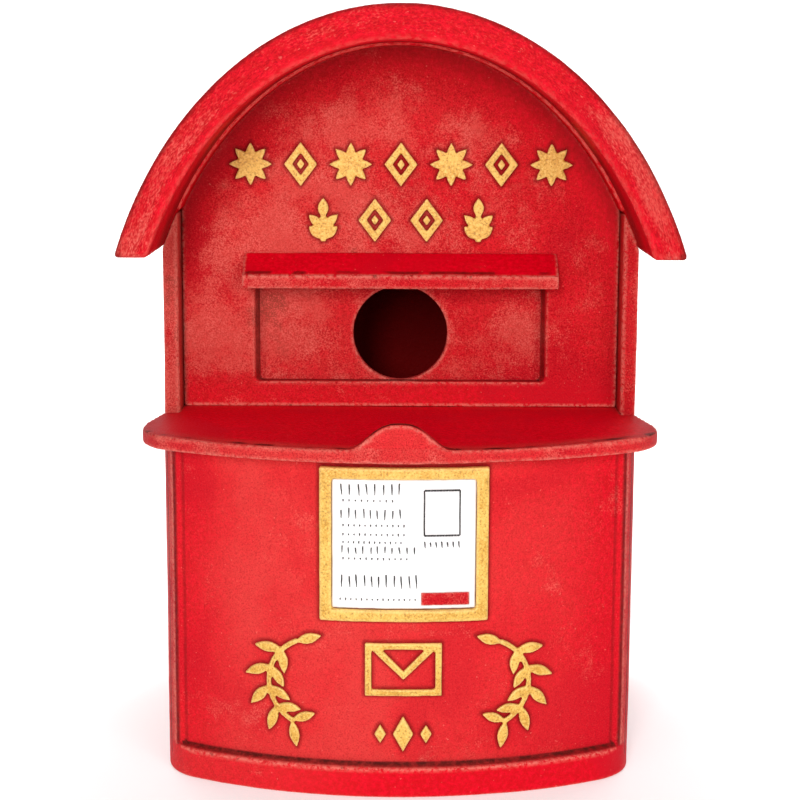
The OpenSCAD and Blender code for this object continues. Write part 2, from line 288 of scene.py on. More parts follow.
def grain_place(co, along_arch):
    """Where the paint's grain is read, in mm. On the roof it runs along the arch."""
    if not along_arch:
        return co / MM
    angle = np.arctan2((co[:, 2] - ARCH_Z) / ROOF_B, co[:, 0] / ROOF_A)
    level = roof_level(co[:, 0], co[:, 2])
    mean_r = (ROOF_A + ROOF_B) / 2
    drawn_out = 0.42
    return np.stack([angle * mean_r * drawn_out, co[:, 1], level * mean_r], 1) / MM


def brushing_and_painted_light(node, co, no):
    """How much dry-brushed pale each point has: little on the smooth tops and along the roof's rim.

    The extra on the left is painted light from the left, the lack in the roof's shadow painted shade.
    """
    x, y, z = co.T
    up = smoothstep(no[:, 2], 0.45, 0.75)
    if node == "roof":
        level = roof_level(x, z)
        band = 0.30 + 0.70 * smoothstep(level, 0.918, 0.945)
        front = smoothstep(-no[:, 1], 0.5, 0.8)
        crown = 1 - 0.52 * smoothstep(z, ROOF_HI.z - 0.040, ROOF_HI.z - 0.010)
        # no pale brushing on the soffit, so that it stays dark: painted shade of the roof's shadow
        soffit = smoothstep(level, 0.885, 0.905)
        # a little less on the right: painted light from the left
        right = smoothstep(x, -0.02, 0.05)
        return (0.50 + 0.22 * front) * band * soffit * crown * (1 - 0.06 * right)
    if node == "landing_shelf":
        rim = smoothstep(np.hypot(x, y - BOW_Y), BOW_R - 0.005, BOW_R + 0.002)
        lip = (np.abs(x) < LIP_HW) & (z > SHELF_TOP)
        end = smoothstep(np.abs(x), 0.066, 0.080)
        # less towards the right: painted light from the left
        face = np.where(lip, 0.25, 0.60) * (1 - 0.35 * smoothstep(x, 0.01, 0.05))
        return np.maximum.reduce([(1 - up) * face, 0.35 * rim, 0.18 * end])
    if node == "entrance_hood":
        return 0.70 * (1 - up)
    if node == "lower_front_panel":
        border = (np.abs(x) > FIELD_HW + FIELD_SLOPE) & (z > FIELD_Z)
        foot = smoothstep(FIELD_Z - z, -0.001, 0.001) * smoothstep(x, -0.06, -0.02)
        return np.where(border, 0.72, 0.24 - 0.14 * foot)
    if node == "upper_front_panel":
        low = 1 - smoothstep(z, SHELF_HI.z - 0.004, SHELF_HI.z + 0.008)
        level = soffit_level(x, z)
        # less pale brushing near the arch: painted shade of the roof's shadow
        high = smoothstep(level, 0.80, 0.97) * (z > ARCH_Z + 0.02)
        # more on the left than the right: painted light from the left
        return (1.0 - 0.55 * smoothstep(x, -0.04, 0.05)) * (1 - 0.72 * low) * (1 - 0.75 * high)
    if node in ("left_wall", "right_wall"):
        # more on the left wall than the right: painted light from the left
        return np.where(x < 0, 1.15, 0.6)
    # more on the left than the right: painted light from the left
    return 0.85 - 0.25 * smoothstep(x, -0.04, 0.04)


def rosiness_and_sheen(node, co, brush):
    """How much of the smooth rosy glaze each point has: most on the bowed front and the shelf.

    Part of it is painted sheen from the light at the left, so it is less towards the right.
    """
    x, z = co[:, 0], co[:, 2]
    # less towards the right, and the base paler on the left: painted sheen from the light at the left
    right = smoothstep(x, -0.01, 0.05)
    if node == "lower_front_panel":
        inward = smoothstep(FIELD_HW - np.abs(x), 0.003, 0.024)
        base = 0.45 - 0.40 * smoothstep(x, -0.05, 0.0)
        return np.where(z > FIELD_Z, (0.25 + 0.75 * inward) * (1 - 0.45 * right), base)
    if node == "landing_shelf":
        return np.clip(brush * 2.0, 0, 1) * (1 - 0.3 * right)
    return (0.3 if node == "roof" else 0.7) * brush


def ridge(distance, width):
    """1 on a line, falling to 0 at width away from it."""
    return 1 - smoothstep(np.abs(distance), width * 0.3, width)


def arris_wear(node, co):
    """The long front edges that rubbing has left pale."""
    x, y, z = co.T
    wide = np.abs(x)
    if node == "landing_shelf":
        out = np.hypot(x, y - BOW_Y) - SHELF_EDGE_R
        down = z - SHELF_TOP + 0.0013
        return 0.6 * ridge(np.hypot(out, down), 0.0010) * (wide > LIP_HW)
    if node == "entrance_hood":
        return ridge(np.hypot(y - HOOD_LO.y - 0.0003, z - HOOD_LO.z - 0.0041), 0.0010)
    if node in ("left_wall", "right_wall"):
        return 0.8 * ridge(wide - INNER_HW - 0.0005, 0.0008) * (y < WALL_LO.y + 0.004)
    if node == "lower_front_panel":
        sill = 0.8 * ridge(z - FIELD_Z + 0.0007, 0.0007) * (wide < FIELD_HW)
        side = 0.8 * ridge(wide - FIELD_HW - FIELD_SLOPE - 0.0003, 0.0007) * (z > FIELD_Z)
        return np.maximum(sill, side)
    if node == "upper_front_panel":
        rim = np.hypot(x, z - HOLE.z) - HOLE_R
        hole = 0.8 * ridge(rim - 0.0004, 0.0008) * (y < PLATE_LO.y + 0.002)
        foot = 0.9 * ridge(z - SHELF_TOP - 0.0005, 0.0009) * (y < PANEL_LO.y + 0.001)
        return np.maximum(hole, foot)
    if node == "entrance_plate":
        rim = np.hypot(x, z - HOLE.z) - HOLE_R
        return 0.8 * ridge(rim - 0.0003, 0.0008) * (y < PLATE_LO.y + 0.002) * (z < HOLE.z)
    return np.zeros(len(co))


def glaze_and_painted_shade(node, co, no):
    """Where the paint is darkened: real dark glaze behind the edges, dark glaze with painted
    shade on the returns and sloping sides, and painted shadow under the roof's arch.
    """
    x, y, z = co.T
    wide = np.abs(x)
    patch = smoothstep(wavy(co, 0.006, 1.0, 5), -0.15, 0.30)
    up = no[:, 2] > 0.5
    if node == "upper_front_panel":
        # beside the recess: dark glaze with painted shade
        beside = (np.abs(z - HOLE.z) < HOLE_R + 0.0008) & (wide < RECESS_HW + 0.001)
        sides = 0.62 * beside * smoothstep(y, PANEL_LO.y + 0.0002, PANEL_LO.y + 0.0014)
        level = soffit_level(x, z)
        # under the arch: painted shadow of the roof
        under = 0.42 * smoothstep(level, 0.87, 0.985) * (z > ARCH_Z + 0.03)
        return np.maximum(sides, under)
    if node in ("left_wall", "right_wall"):
        # the return behind the wall's front edge: dark glaze with painted shade
        back = smoothstep(y, WALL_LO.y + 0.002, PANEL_LO.y) * (y < PANEL_HI.y)
        return back * 0.6 * (wide < INNER_HW + 0.0008)
    if node == "lower_front_panel":
        # the field's sloping sides and its ledge: dark glaze with painted shade
        foot = ridge(wide - FIELD_HW + FIELD_SLOPE, 0.0010) * (z > FIELD_Z)
        head = ridge(wide - FIELD_HW - FIELD_SLOPE * 0.6, 0.0010) * (z > FIELD_Z)
        ledge = ridge(z - FIELD_Z - 0.0002, 0.0006) * (wide < FIELD_HW)
        # the field darker towards the ledge
        darker_to_ledge = (1 - smoothstep(z, FIELD_Z, FIELD_Z + 0.006)) * (z > FIELD_Z) * (wide < FIELD_HW)
        return np.maximum.reduce([0.45 * foot, 0.7 * head, 0.7 * ledge, 0.22 * darker_to_ledge])
    if node == "landing_shelf":
        inside = BOW_R + 0.0024 - np.hypot(x, y - BOW_Y)
        end = smoothstep(wide, 0.066, 0.080)
        tip = (0.20 + 0.26 * smoothstep(no[:, 2], -0.1, 0.4)) * smoothstep(wide, 0.066, 0.084)
        line = (0.30 + 0.70 * patch) * ridge(inside, 0.0020 + 0.0012 * end) * up
        return np.maximum(line, tip)
    if node == "entrance_hood":
        return 0.70 * ridge(y - HOOD_LO.y - 0.0013, 0.0011) * patch * up
    if node == "entrance_plate":
        # the recess floor along its sides: dark glaze with painted shade
        beside = ridge(wide - (PLATE_HI.x - 0.0085), 0.0028)
        return 0.30 * beside * (y < PLATE_LO.y + 0.001)
    if node == "roof":
        # the soffit: painted shadow of the roof's arch, deeper towards the wall; the front face a little
        # darker all over
        level = soffit_level(x, z)
        under = (1 - smoothstep(level, 1.004, 1.010)) * (y < WALL_LO.y)
        back = smoothstep(y, ROOF_LO.y + 0.004, WALL_LO.y - 0.006)
        front = 0.20 * (1 - smoothstep(y, ROOF_LO.y + 0.0005, ROOF_LO.y + 0.002))
        return np.maximum(0.62 * under * back, front)
    return np.zeros(len(co))


def chamber(co):
    """1 inside the nest chamber, whose paint is darkened as painted shade, and 0 outside."""
    x, y, z = np.abs(co[:, 0]), co[:, 1], co[:, 2]
    behind_front = (y > PLATE_HI.y - 0.0008) | ((z < SHELF_LO.z + 0.0005) & (y > WALL_LO.y))
    shell = (x < INNER_HW + 0.0008) & (y < BACK_LO.y + 0.0008) & (z > FLOOR_HI.z - 0.0008)
    bowed = (z < SHELF_LO.z + 0.0005) & (y <= WALL_LO.y)
    bowed &= np.hypot(co[:, 0], y - BOW_Y) < BOW_R - 0.004
    bowed &= (x < INNER_HW + 0.0008) & (z > FLOOR_HI.z - 0.0008)
    level = soffit_level(x, z)
    under = (z < ARCH_Z) | (level < 1.008)
    return ((behind_front & shell & under) | bowed).astype(float)


# ---------- shaders ----------


class Shader:
    """A thin layer over a node tree, so that a material reads as a few lines."""

    def __init__(self, name):
        self.mat = bpy.data.materials.new(name)
        self.mat.use_nodes = True
        self.tree = self.mat.node_tree
        self.bsdf = self.tree.nodes["Principled BSDF"]

    def node(self, kind, **settings):
        made = self.tree.nodes.new(kind)
        for key, value in settings.items():
            setattr(made, key, value)
        return made

    def feed(self, socket, value):
        if isinstance(value, bpy.types.NodeSocket):
            self.tree.links.new(value, socket)
        elif value is not None:
            socket.default_value = value

    def attribute(self, name, vector=False):
        made = self.node("ShaderNodeAttribute", attribute_name=name)
        return made.outputs["Vector" if vector else "Fac"]

    def noise(self, place, scale, detail=3.0, roughness=0.55, distortion=0.0):
        made = self.node("ShaderNodeTexNoise")
        self.feed(made.inputs["Vector"], place)
        made.inputs["Scale"].default_value = scale
        made.inputs["Detail"].default_value = detail
        made.inputs["Roughness"].default_value = roughness
        made.inputs["Distortion"].default_value = distortion
        return made.outputs["Fac"]

    def stretch(self, place, factors):
        made = self.node("ShaderNodeVectorMath", operation="MULTIPLY")
        self.feed(made.inputs[0], place)
        made.inputs[1].default_value = factors
        return made.outputs[0]

    def fade(self, value, lo, hi, to_lo=0.0, to_hi=1.0):
        """Maps value smoothly from lo..hi to to_lo..to_hi."""
        made = self.node("ShaderNodeMapRange", interpolation_type="SMOOTHSTEP")
        self.feed(made.inputs["Value"], value)
        made.inputs["From Min"].default_value = lo
        made.inputs["From Max"].default_value = hi
        made.inputs["To Min"].default_value = to_lo
        made.inputs["To Max"].default_value = to_hi
        return made.outputs["Result"]

    def math(self, operation, a, b):
        made = self.node("ShaderNodeMath", operation=operation)
        self.feed(made.inputs[0], a)
        self.feed(made.inputs[1], b)
        return made.outputs[0]

    def times(self, a, b):
        return self.math("MULTIPLY", a, b)

    def mix(self, factor, a, b):
        made = self.node("ShaderNodeMix", data_type="RGBA")
        self.feed(made.inputs["Factor"], factor)
        self.feed(made.inputs["A"], (*a, 1) if isinstance(a, tuple) else a)
        self.feed(made.inputs["B"], (*b, 1) if isinstance(b, tuple) else b)
        return made.outputs["Result"]

    def bump(self, height, distance):
        made = self.node("ShaderNodeBump")
        made.inputs["Distance"].default_value = distance
        self.feed(made.inputs["Height"], height)
        return made.outputs["Normal"]

    def finish(self, color, roughness, normal=None, **constants):
        self.feed(self.bsdf.inputs["Base Color"], color)
        self.feed(self.bsdf.inputs["Roughness"], roughness)
        if normal is not None:
            self.tree.links.new(normal, self.bsdf.inputs["Normal"])
        for key, value in constants.items():
            self.bsdf.inputs[key.replace("_", " ")].default_value = value
        return self.mat


def red_paint():
    """Letter-box red on sandy resin: dry-brushed light on its grain, brown in its corners.

    The pale and the brown are partly painted light and shade.
    """
    deep_red = (0.60, 0.0, 0.007)
    bright_red = (0.77, 0.0, 0.016)
    patch_red = (0.60, 0.001, 0.012)
    rosy_and_sheen_red = (0.72, 0.058, 0.050)
    pit_red = (0.36, 0.0, 0.006)
    tip_red = (0.84, 0.100, 0.085)
    brushed_red = (0.72, 0.090, 0.070)
    pale_red = (0.84, 0.175, 0.138)
    dusky_brown = (0.32, 0.055, 0.036)
    speck_pink = (0.85, 0.16, 0.13)
    rubbed_pink = (0.88, 0.25, 0.19)
    seam_brown = (0.16, 0.005, 0.004)
    corner_and_shade_brown = (0.085, 0.006, 0.004)
    chip_brown = (0.12, 0.045, 0.030)
    chamber_shade_red = (0.15, 0.0, 0.0005)

    s = Shader("red_paint")
    place = s.attribute("grain", vector=True)
    wear = s.attribute("wear")
    crevice_and_shade = s.attribute("crevice_and_shade")
    join = s.attribute("join")
    brush = s.attribute("brush")
    sand = s.noise(place, 2.1, 3.0, 0.62)
    coarse = s.noise(place, 0.75, 3.0, 0.62)
    blotches = s.noise(place, 0.075, 4.0, 0.66)
    patches = s.noise(place, 0.022, 3.0, 0.6, 0.5)

    body = s.mix(s.fade(coarse, 0.35, 0.7), deep_red, bright_red)
    body = s.mix(s.fade(patches, 0.50, 0.64), body, patch_red)
    # a thin rosy glaze in wide soft patches, partly painted sheen
    glaze = s.times(s.fade(patches, 0.64, 0.40, 0.45, 1.0), s.attribute("rose_and_sheen"))
    body = s.mix(s.times(glaze, 0.70), body, rosy_and_sheen_red)
    # the sandy grain itself: dark pits and paler tops
    sandy = s.fade(brush, 0.0, 0.4)
    pits = s.times(s.fade(sand, 0.49, 0.37), sandy)
    body = s.mix(s.times(pits, 0.62), body, pit_red)
    tips = s.times(s.fade(sand, 0.55, 0.70), sandy)
    body = s.mix(s.times(tips, 0.32), body, tip_red)
    # dry brushing in patches whose borders follow the grain; its amount is partly painted light and shade
    reach = s.math("ADD", s.noise(place, 0.062, 5.0, 0.66), s.times(sand, 0.40))
    brushed = s.fade(s.math("ADD", reach, s.times(brush, 0.35)), 0.86, 1.12)
    body = s.mix(s.times(brushed, 0.55), body, brushed_red)
    tops = s.times(s.fade(sand, 0.42, 0.66), s.fade(blotches, 0.36, 0.62, 0.25, 1.0))
    body = s.mix(s.times(s.times(tops, brushed), 0.68), body, pale_red)
    dusky = s.times(s.fade(s.noise(place, 0.045, 4.0, 0.7), 0.52, 0.66), s.fade(sand, 0.64, 0.42))
    body = s.mix(s.times(s.times(dusky, brushed), 0.75), body, dusky_brown)
    specks = s.fade(s.noise(place, 0.9, 2.0, 0.5), 0.72, 0.75)
    body = s.mix(s.times(specks, 0.5), body, speck_pink)
    # the pale line that rubbing leaves along an edge, broken up by the grain
    rub = s.times(wear, s.fade(s.noise(place, 0.9, 4.0, 0.7), 0.36, 0.58))
    body = s.mix(s.times(rub, 0.66), body, rubbed_pink)
    broken = s.fade(s.noise(place, 0.5, 4.0, 0.7), 0.30, 0.62, 0.70, 1.0)
    # dark glaze along the joins and in the corners (partly painted shade), then chips down to the dark
    # resin
    body = s.mix(s.times(s.fade(join, 0.1, 0.9), s.times(broken, 0.66)), body, seam_brown)
    body = s.mix(s.times(s.fade(crevice_and_shade, 0.05, 0.95), broken), body, corner_and_shade_brown)
    chips = s.times(wear, s.fade(s.noise(place, 0.16, 4.0, 0.75), 0.62, 0.68))
    body = s.mix(s.times(chips, 0.55), body, chip_brown)
    # the inside of the chamber made dark: painted shade
    body = s.mix(s.attribute("inside"), body, chamber_shade_red)

    height = s.math("ADD", s.times(sand, 0.8), s.times(coarse, 0.7))
    normal = s.bump(s.times(height, s.fade(brush, 0.0, 0.6, 0.2, 1.0)), 0.00070)
    rough = s.fade(sand, 0.3, 0.7, 0.42, 0.62)
    return s.finish(body, rough, normal, Specular_IOR_Level=0.07)


def gold_paint():
    """Yellow-gold paint on relief, thin and brown towards its edges."""
    dark_gold = (0.66, 0.33, 0.035)
    yellow_gold = (0.82, 0.49, 0.095)
    grain_gold = (0.92, 0.63, 0.17)
    pit_brown = (0.38, 0.16, 0.022)
    edge_gold = (1.0, 0.76, 0.30)
    foot_brown = (0.12, 0.030, 0.010)

    s = Shader("gold_paint")
    place = s.attribute("grain", vector=True)
    wear = s.attribute("wear")
    join = s.attribute("join")
    sand = s.noise(place, 1.5, 3.0, 0.6)
    blotches = s.noise(place, 0.18, 4.0, 0.65)
    body = s.mix(s.fade(blotches, 0.35, 0.65), dark_gold, yellow_gold)
    body = s.mix(s.times(s.fade(sand, 0.48, 0.66), 0.6), body, grain_gold)
    body = s.mix(s.times(s.fade(sand, 0.46, 0.34), 0.75), body, pit_brown)
    body = s.mix(s.times(wear, 0.35), body, edge_gold)
    body = s.mix(s.fade(join, 0.3, 0.95, 0.0, 0.85), body, foot_brown)
    normal = s.bump(s.math("ADD", sand, blotches), 0.00022)
    rough = s.fade(blotches, 0.3, 0.7, 0.34, 0.55)
    return s.finish(body, rough, normal, Metallic=0.15, Specular_IOR_Level=0.5)


def white_paint():
    """White paint, stained along the frame and a little uneven."""
    s = Shader("white_paint")
    place = s.attribute("grain", vector=True)
    stain = s.attribute("join")
    clouds = s.noise(place, 0.12, 4.0, 0.6)
    body = s.mix(s.fade(clouds, 0.4, 0.75), (0.94, 0.93, 0.93), (0.86, 0.82, 0.81))
    body = s.mix(s.fade(stain, 0.2, 1.0, 0.0, 0.7), body, (0.42, 0.22, 0.17))
    fine = s.noise(place, 1.1, 3.0, 0.6)
    return s.finish(body, s.fade(clouds, 0.3, 0.7, 0.45, 0.6), s.bump(fine, 0.00010))


def ink():
    """Black brush paint, thin and grey in places."""
    s = Shader("black_brush_paint")
    place = s.attribute("grain", vector=True)
    thin = s.noise(place, 1.2, 3.0, 0.6)
    body = s.mix(s.fade(thin, 0.4, 0.75), (0.012, 0.010, 0.010), (0.10, 0.09, 0.09))
    return s.finish(body, s.fade(thin, 0.3, 0.7, 0.4, 0.7), s.bump(thin, 0.00005))


def zinc():
    """Bright zinc plate with fine scratches and a cloudy bloom."""
    s = Shader("zinc_plate")
    place = s.node("ShaderNodeTexCoord").outputs["Object"]
    clouds = s.noise(place, 260.0, 4.0, 0.6)
    scratch = s.noise(s.stretch(place, (1.0, 1.0, 0.06)), 5200.0, 2.0, 0.5)
    body = s.mix(s.fade(clouds, 0.35, 0.7), (0.42, 0.43, 0.45), (0.66, 0.67, 0.69))
    rough = s.math("ADD", s.fade(clouds, 0.3, 0.7, 0.24, 0.42), s.times(scratch, 0.1))
    return s.finish(body, rough, s.bump(scratch, 0.00002), Metallic=1.0)


def softwood():
    """Sawn softwood whose rings and fibres run up the strip."""
    s = Shader("softwood")
    place = s.node("ShaderNodeTexCoord").outputs["Object"]
    rings = s.noise(s.stretch(place, (1.0, 1.0, 0.05)), 420.0, 4.0, 0.6, 0.6)
    fibre = s.noise(s.stretch(place, (1.0, 1.0, 0.04)), 2400.0, 2.0, 0.6)
    body = s.mix(s.fade(rings, 0.35, 0.65), (0.50, 0.31, 0.15), (0.68, 0.47, 0.26))
    body = s.mix(s.times(s.fade(fibre, 0.5, 0.8), 0.4), body, (0.30, 0.17, 0.08))
    return s.finish(body, s.fade(fibre, 0.3, 0.7, 0.6, 0.8), s.bump(fibre, 0.00012))


RED = red_paint()
GOLD = gold_paint()
WHITE = white_paint()
INK = ink()
ZINC = zinc()
WOOD = softwood()


# ---------- casting a CAD node again as an even mesh ----------

# size of the mesh's cells in mm, rounds of softening, waviness in m
SHELL = {
    "roof": (0.95, 1, 0.00018),
    "left_wall": (0.9, 2, 0.00018),
    "right_wall": (0.9, 2, 0.00018),
    "upper_front_panel": (0.8, 2, 0.00018),
    "entrance_plate": (0.8, 2, 0.00015),
    "entrance_hood": (0.6, 3, 0.00020),
    "landing_shelf": (0.75, 2, 0.00022),
    "floor": (1.4, 2, 0.00010),
    "back_panel": (1.0, 2, 0.00012),
    "clean_out_door": (0.9, 2, 0.00008),
}

# size of the mesh's cells in mm
RELIEF = {
    "notice_frame": 0.5,
    "notice_plate": 0.4,
    "notice_bar": 0.3,
    "upper_ornaments": 0.34,
    "lower_ornaments": 0.34,
    "left_sprig": 0.34,
    "right_sprig": 0.34,
    "envelope_ornament": 0.36,
    "lozenge_ornaments": 0.34,
}

SLOT_MATERIAL = {
    "painted_resin": RED,
    "gold_paint": GOLD,
    "white_paint": WHITE,
    "zinc_steel": ZINC,
    "softwood": WOOD,
}
SLOT_OF = {p["node"]: p["material_slot"] for p in frame["record"]["subparts"]}
BODY_OF = {
    n: body for body, nodes in frame["record"]["behaviour"]["bodies"].items() for n in nodes
}


def neighbours(node, relief):
    """The surfaces of the other CAD nodes of the shell, or of the relief, on the same body."""
    verts, faces = [], []
    for other, obj in frame["nodes"].items():
        if other == node or BODY_OF[other] != BODY_OF[node]:
            continue
        if (other in RELIEF) != relief:
            continue
        start = len(verts)
        verts += [v.co.copy() for v in obj.data.vertices]
        faces += [[start + i for i in p.vertices] for p in obj.data.polygons]
    return BVHTree.FromPolygons(verts, faces) if faces else None


def shape_wall(co):
    """The front edge of a side wall leans back towards the inside."""
    lean = 0.0028
    across = (WALL_HI.x - np.abs(co[:, 0])) / WALL_T
    close = 1 - smoothstep(co[:, 1], WALL_LO.y, WALL_LO.y + 0.010)
    co[:, 1] += lean * np.clip(across, 0, 1) * close
    return co


def shape_upper_panel(co):
    """The sunk rectangle's sides slope inwards as they go back."""
    side_draft, foot_draft = 0.0022, 0.0006
    depth = np.clip((co[:, 1] - PANEL_LO.y) / (PLATE_LO.y - PANEL_LO.y), 0, 1)
    x, z = co[:, 0], co[:, 2] - HOLE.z
    beside = np.abs(x) > RECESS_HW - 0.0012
    beside &= np.abs(x) < RECESS_HW + 0.004
    level = np.abs(z) < HOLE_R + 0.0025
    co[:, 0] = np.where(beside & level, x - np.sign(x) * side_draft * depth, x)
    below = (z < -HOLE_R + 0.0009) & (z > -HOLE_R - 0.003) & (np.abs(x) < RECESS_HW + 0.001)
    co[:, 2] = np.where(below, co[:, 2] + foot_draft * depth, co[:, 2])
    return co


def shape_shelf(co):
    """The shelf falls a little towards its front, so that rain runs off it."""
    fall = 0.0010
    ahead = smoothstep(-co[:, 1], -WALL_LO.y, -SHELF_LO.y)
    height = np.clip((co[:, 2] - SHELF_LO.z) / (SHELF_TOP - SHELF_LO.z), 0, 1)
    co[:, 2] -= fall * ahead * height
    return co


def shape_door(co):
    """The door's corners are rounded off, so that they clear its opening's, shut and open."""
    rounding, pull = 0.004, 0.0006
    middle, half = (DOOR_LO + DOOR_HI) / 2, (DOOR_HI - DOOR_LO) / 2
    x, z = co[:, 0] - middle.x, co[:, 2] - middle.z
    # the whole knuckle on the hinge's side, and only the corners on the other side
    knuckle = np.where(x < 0, DOOR_HI.y - DOOR_LO.y, 0.0)
    corner = smoothstep(np.abs(x) + knuckle, half.x - rounding, half.x)
    corner *= smoothstep(np.abs(z), half.z - rounding, half.z)
    co[:, 0] -= np.sign(x) * pull * corner
    co[:, 2] -= np.sign(z) * pull * corner
    return co


RESHAPE = {
    "left_wall": shape_wall,
    "right_wall": shape_wall,
    "upper_front_panel": shape_upper_panel,
    "landing_shelf": shape_shelf,
    "clean_out_door": shape_door,
}


def casting(node, voxel_mm, soften, wave, wave_size=0.028):
    """Recasts a CAD node and gives it the paint of its slot."""
    obj = bmesh_object(node + "_casting", cad_copy(node))
    even = obj.modifiers.new("even", "REMESH")
    even.mode = "VOXEL"
    even.voxel_size = voxel_mm * MM * 1.0
    even.use_smooth_shade = True
    soft = obj.modifiers.new("soften", "SMOOTH")
    soft.factor = 0.5
    soft.iterations = soften
    apply_modifiers(obj)
    mesh = obj.data
    co = points_of(mesh)
    if node in RESHAPE:
        set_points(mesh, RESHAPE[node](co))
    finish_casting(obj, node, wave, wave_size)


def finish_casting(obj, node, wave, wave_size):
    """Stores the paint's masks, makes the surface a little uneven and dresses the piece."""
    mesh = obj.data
    co, no = paint_masks(obj, node)
    seed = sum(ord(c) for c in node) % 17
    lift = wavy(co, wave_size, wave, seed) + wavy(co, wave_size / 4, wave * 0.35, seed + 1)
    lo, hi = (np.array(corner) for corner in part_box(node))
    set_points(mesh, np.clip(co + no * lift[:, None], lo, hi))
    store(mesh, "grain", grain_place(co, node == "roof"))
    store(mesh, "inside", chamber(co))
    dress(obj, node)


def plan_line(inset, step):
    """The bowed front's plan, moved in by inset, from the right wall round to the left wall."""
    end_r, big_r = CORNER_R - inset, BOW_R - inset
    side = Vector((WALL_HI.x - inset - CORNER_X, WALL_LO.y - CORNER_Y))
    touch = math.atan2(side.y, side.x) - math.acos(end_r / side.length)
    join = math.atan2(CORNER_Y - BOW_Y, CORNER_X)
    centre = Vector((CORNER_X, CORNER_Y))

    def arc(middle, r, a, b, count):
        turns = (a + (b - a) * i / count for i in range(count + 1))
        return [middle + r * Vector((math.cos(t), math.sin(t))) for t in turns]

    foot = Vector((WALL_HI.x - inset, WALL_LO.y))
    start = centre + end_r * Vector((math.cos(touch), math.sin(touch)))
    straight = max(2, round((start - foot).length / step))
    half = [foot.lerp(start, i / straight) for i in range(straight)]
    half += arc(centre, end_r, touch, join, max(3, round(end_r * (touch - join) / step)))[:-1]
    bow = arc(Vector((0, BOW_Y)), big_r, join, -math.pi / 2,
              round(big_r * (join + math.pi / 2) / step))
    half += bow
    return half + [Vector((-p.x, p.y)) for p in reversed(half[:-1])]


def sunk_share(x, z):
    """1 in the sunk field of the lower front, 0 on its border, and between on the slopes."""
    ledge = 0.0005
    inside_x = smoothstep(np.array(FIELD_HW - abs(x)), -FIELD_SLOPE, FIELD_SLOPE)
    inside_z = smoothstep(np.array(z - FIELD_Z), -ledge, ledge)
    return float(inside_x * inside_z)


def bowed_row(bm, plan, z):
    """One level of the lower front's outer skin, with its foot rounded and its field sunk."""
    edge = 0.0009
    low = max(0.0, edge - (z - FRONT_LO.z))
    round_in = edge - math.sqrt(edge ** 2 - low ** 2)
    row = []
    for p in plan:
        toward = (Vector((0, BOW_Y)) - p).normalized() * round_in
        y = p.y
        if abs(p.x) < FIELD_HW + FIELD_SLOPE:
            field_y = BOW_Y - math.sqrt(FIELD_R ** 2 - p.x ** 2)
            y += (field_y - p.y) * sunk_share(p.x, z)
        row.append(bm.verts.new((p.x + toward.x, y + toward.y, z)))
    return row


def close_shell(bm, skin, lining):
    """Closes the gap between an outer skin and its lining at the foot, the head and both ends."""
    for end in (0, -1):
        outer, inner = skin[end], lining[end]
        rim = list(zip(outer, outer[1:])) + list(zip(inner, inner[1:]))
        rim += [(outer[0], inner[0]), (outer[-1], inner[-1])]
        edges = [bm.edges.get(pair) or bm.edges.new(pair) for pair in rim]
        bmesh.ops.triangle_fill(bm, edges=edges, use_beauty=True)
    for side in (0, -1):
        loop = [row[side] for row in skin] + [row[side] for row in reversed(lining)]
        bm.faces.new(loop)


def bowed_panel():
    """The lower front: a bowed shell whose sunk field has sloping sides and a ledge at its foot."""
    node = "lower_front_panel"
    step = 0.0007
    outer = plan_line(0, step)
    heights = [FRONT_LO.z, FRONT_LO.z + 0.0002, FRONT_LO.z + 0.0005]
    rows = round((FRONT_HI.z - 0.0010) / step)
    heights += [0.0009 + (FRONT_HI.z - 0.0009) * i / rows for i in range(rows + 1)]
    bm = bmesh.new()
    skin = [bowed_row(bm, outer, z) for z in heights]
    for a, b in zip(skin, skin[1:]):
        for k in range(len(outer) - 1):
            bm.faces.new((a[k], a[k + 1], b[k + 1], b[k]))
    inner = plan_line(WALL_T, 0.004)
    levels = [FRONT_LO.z, (FRONT_LO.z + FRONT_HI.z) / 2, FRONT_HI.z]
    lining = [[bm.verts.new((p.x, p.y, z)) for p in inner] for z in levels]
    for a, b in zip(lining, lining[1:]):
        for k in range(len(inner) - 1):
            bm.faces.new((a[k], b[k], b[k + 1], a[k + 1]))
    close_shell(bm, skin, lining)
    obj = bmesh_object(node + "_casting", bm)
    finish_casting(obj, node, wave=0.00020, wave_size=0.028)


def dress(obj, node):
    """Gives a piece its node's material, body and slot, and lets it stand for the node."""
    obj.data.materials.clear()
    obj.data.materials.append(SLOT_MATERIAL[SLOT_OF[node]])
    obj.data.shade_smooth()
    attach(obj, BODY_OF[node])
    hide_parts(node)


def machined(node, edge_mm):
    """A CAD node with its sharp edges broken, for metal and wooden pieces."""
    bm = cad_copy(node)
    bmesh.ops.dissolve_limit(
        bm, angle_limit=math.radians(1), verts=bm.verts, edges=bm.edges, delimit={"NORMAL"}
    )
    sharp = [e for e in bm.edges if e.is_manifold and e.calc_face_angle(0) > math.radians(32)]
    bmesh.ops.bevel(
        bm, geom=sharp, offset=edge_mm * MM, segments=2, profile=0.5,
        affect="EDGES", clamp_overlap=True,
    )
    obj = bmesh_object(node + "_part", bm)
    weighted = obj.modifiers.new("even_shading", "WEIGHTED_NORMAL")
    weighted.keep_sharp = True
    dress(obj, node)


for shell_node, (cell, rounds, waves) in SHELL.items():
    casting(shell_node, cell, rounds, waves)
bowed_panel()
for relief_node, cell in RELIEF.items():
    casting(relief_node, cell, soften=4, wave=0.00008, wave_size=0.006)

for metal_node in (
    "back_panel_screws", "door_hinge_pins", "door_pull", "turn_button",
    "turn_button_screw", "hanger_plate", "hanger_screws",
):
    machined(metal_node, edge_mm=0.2)
for wood_node in ("left_cleat", "right_cleat"):
    machined(wood_node, edge_mm=0.5)


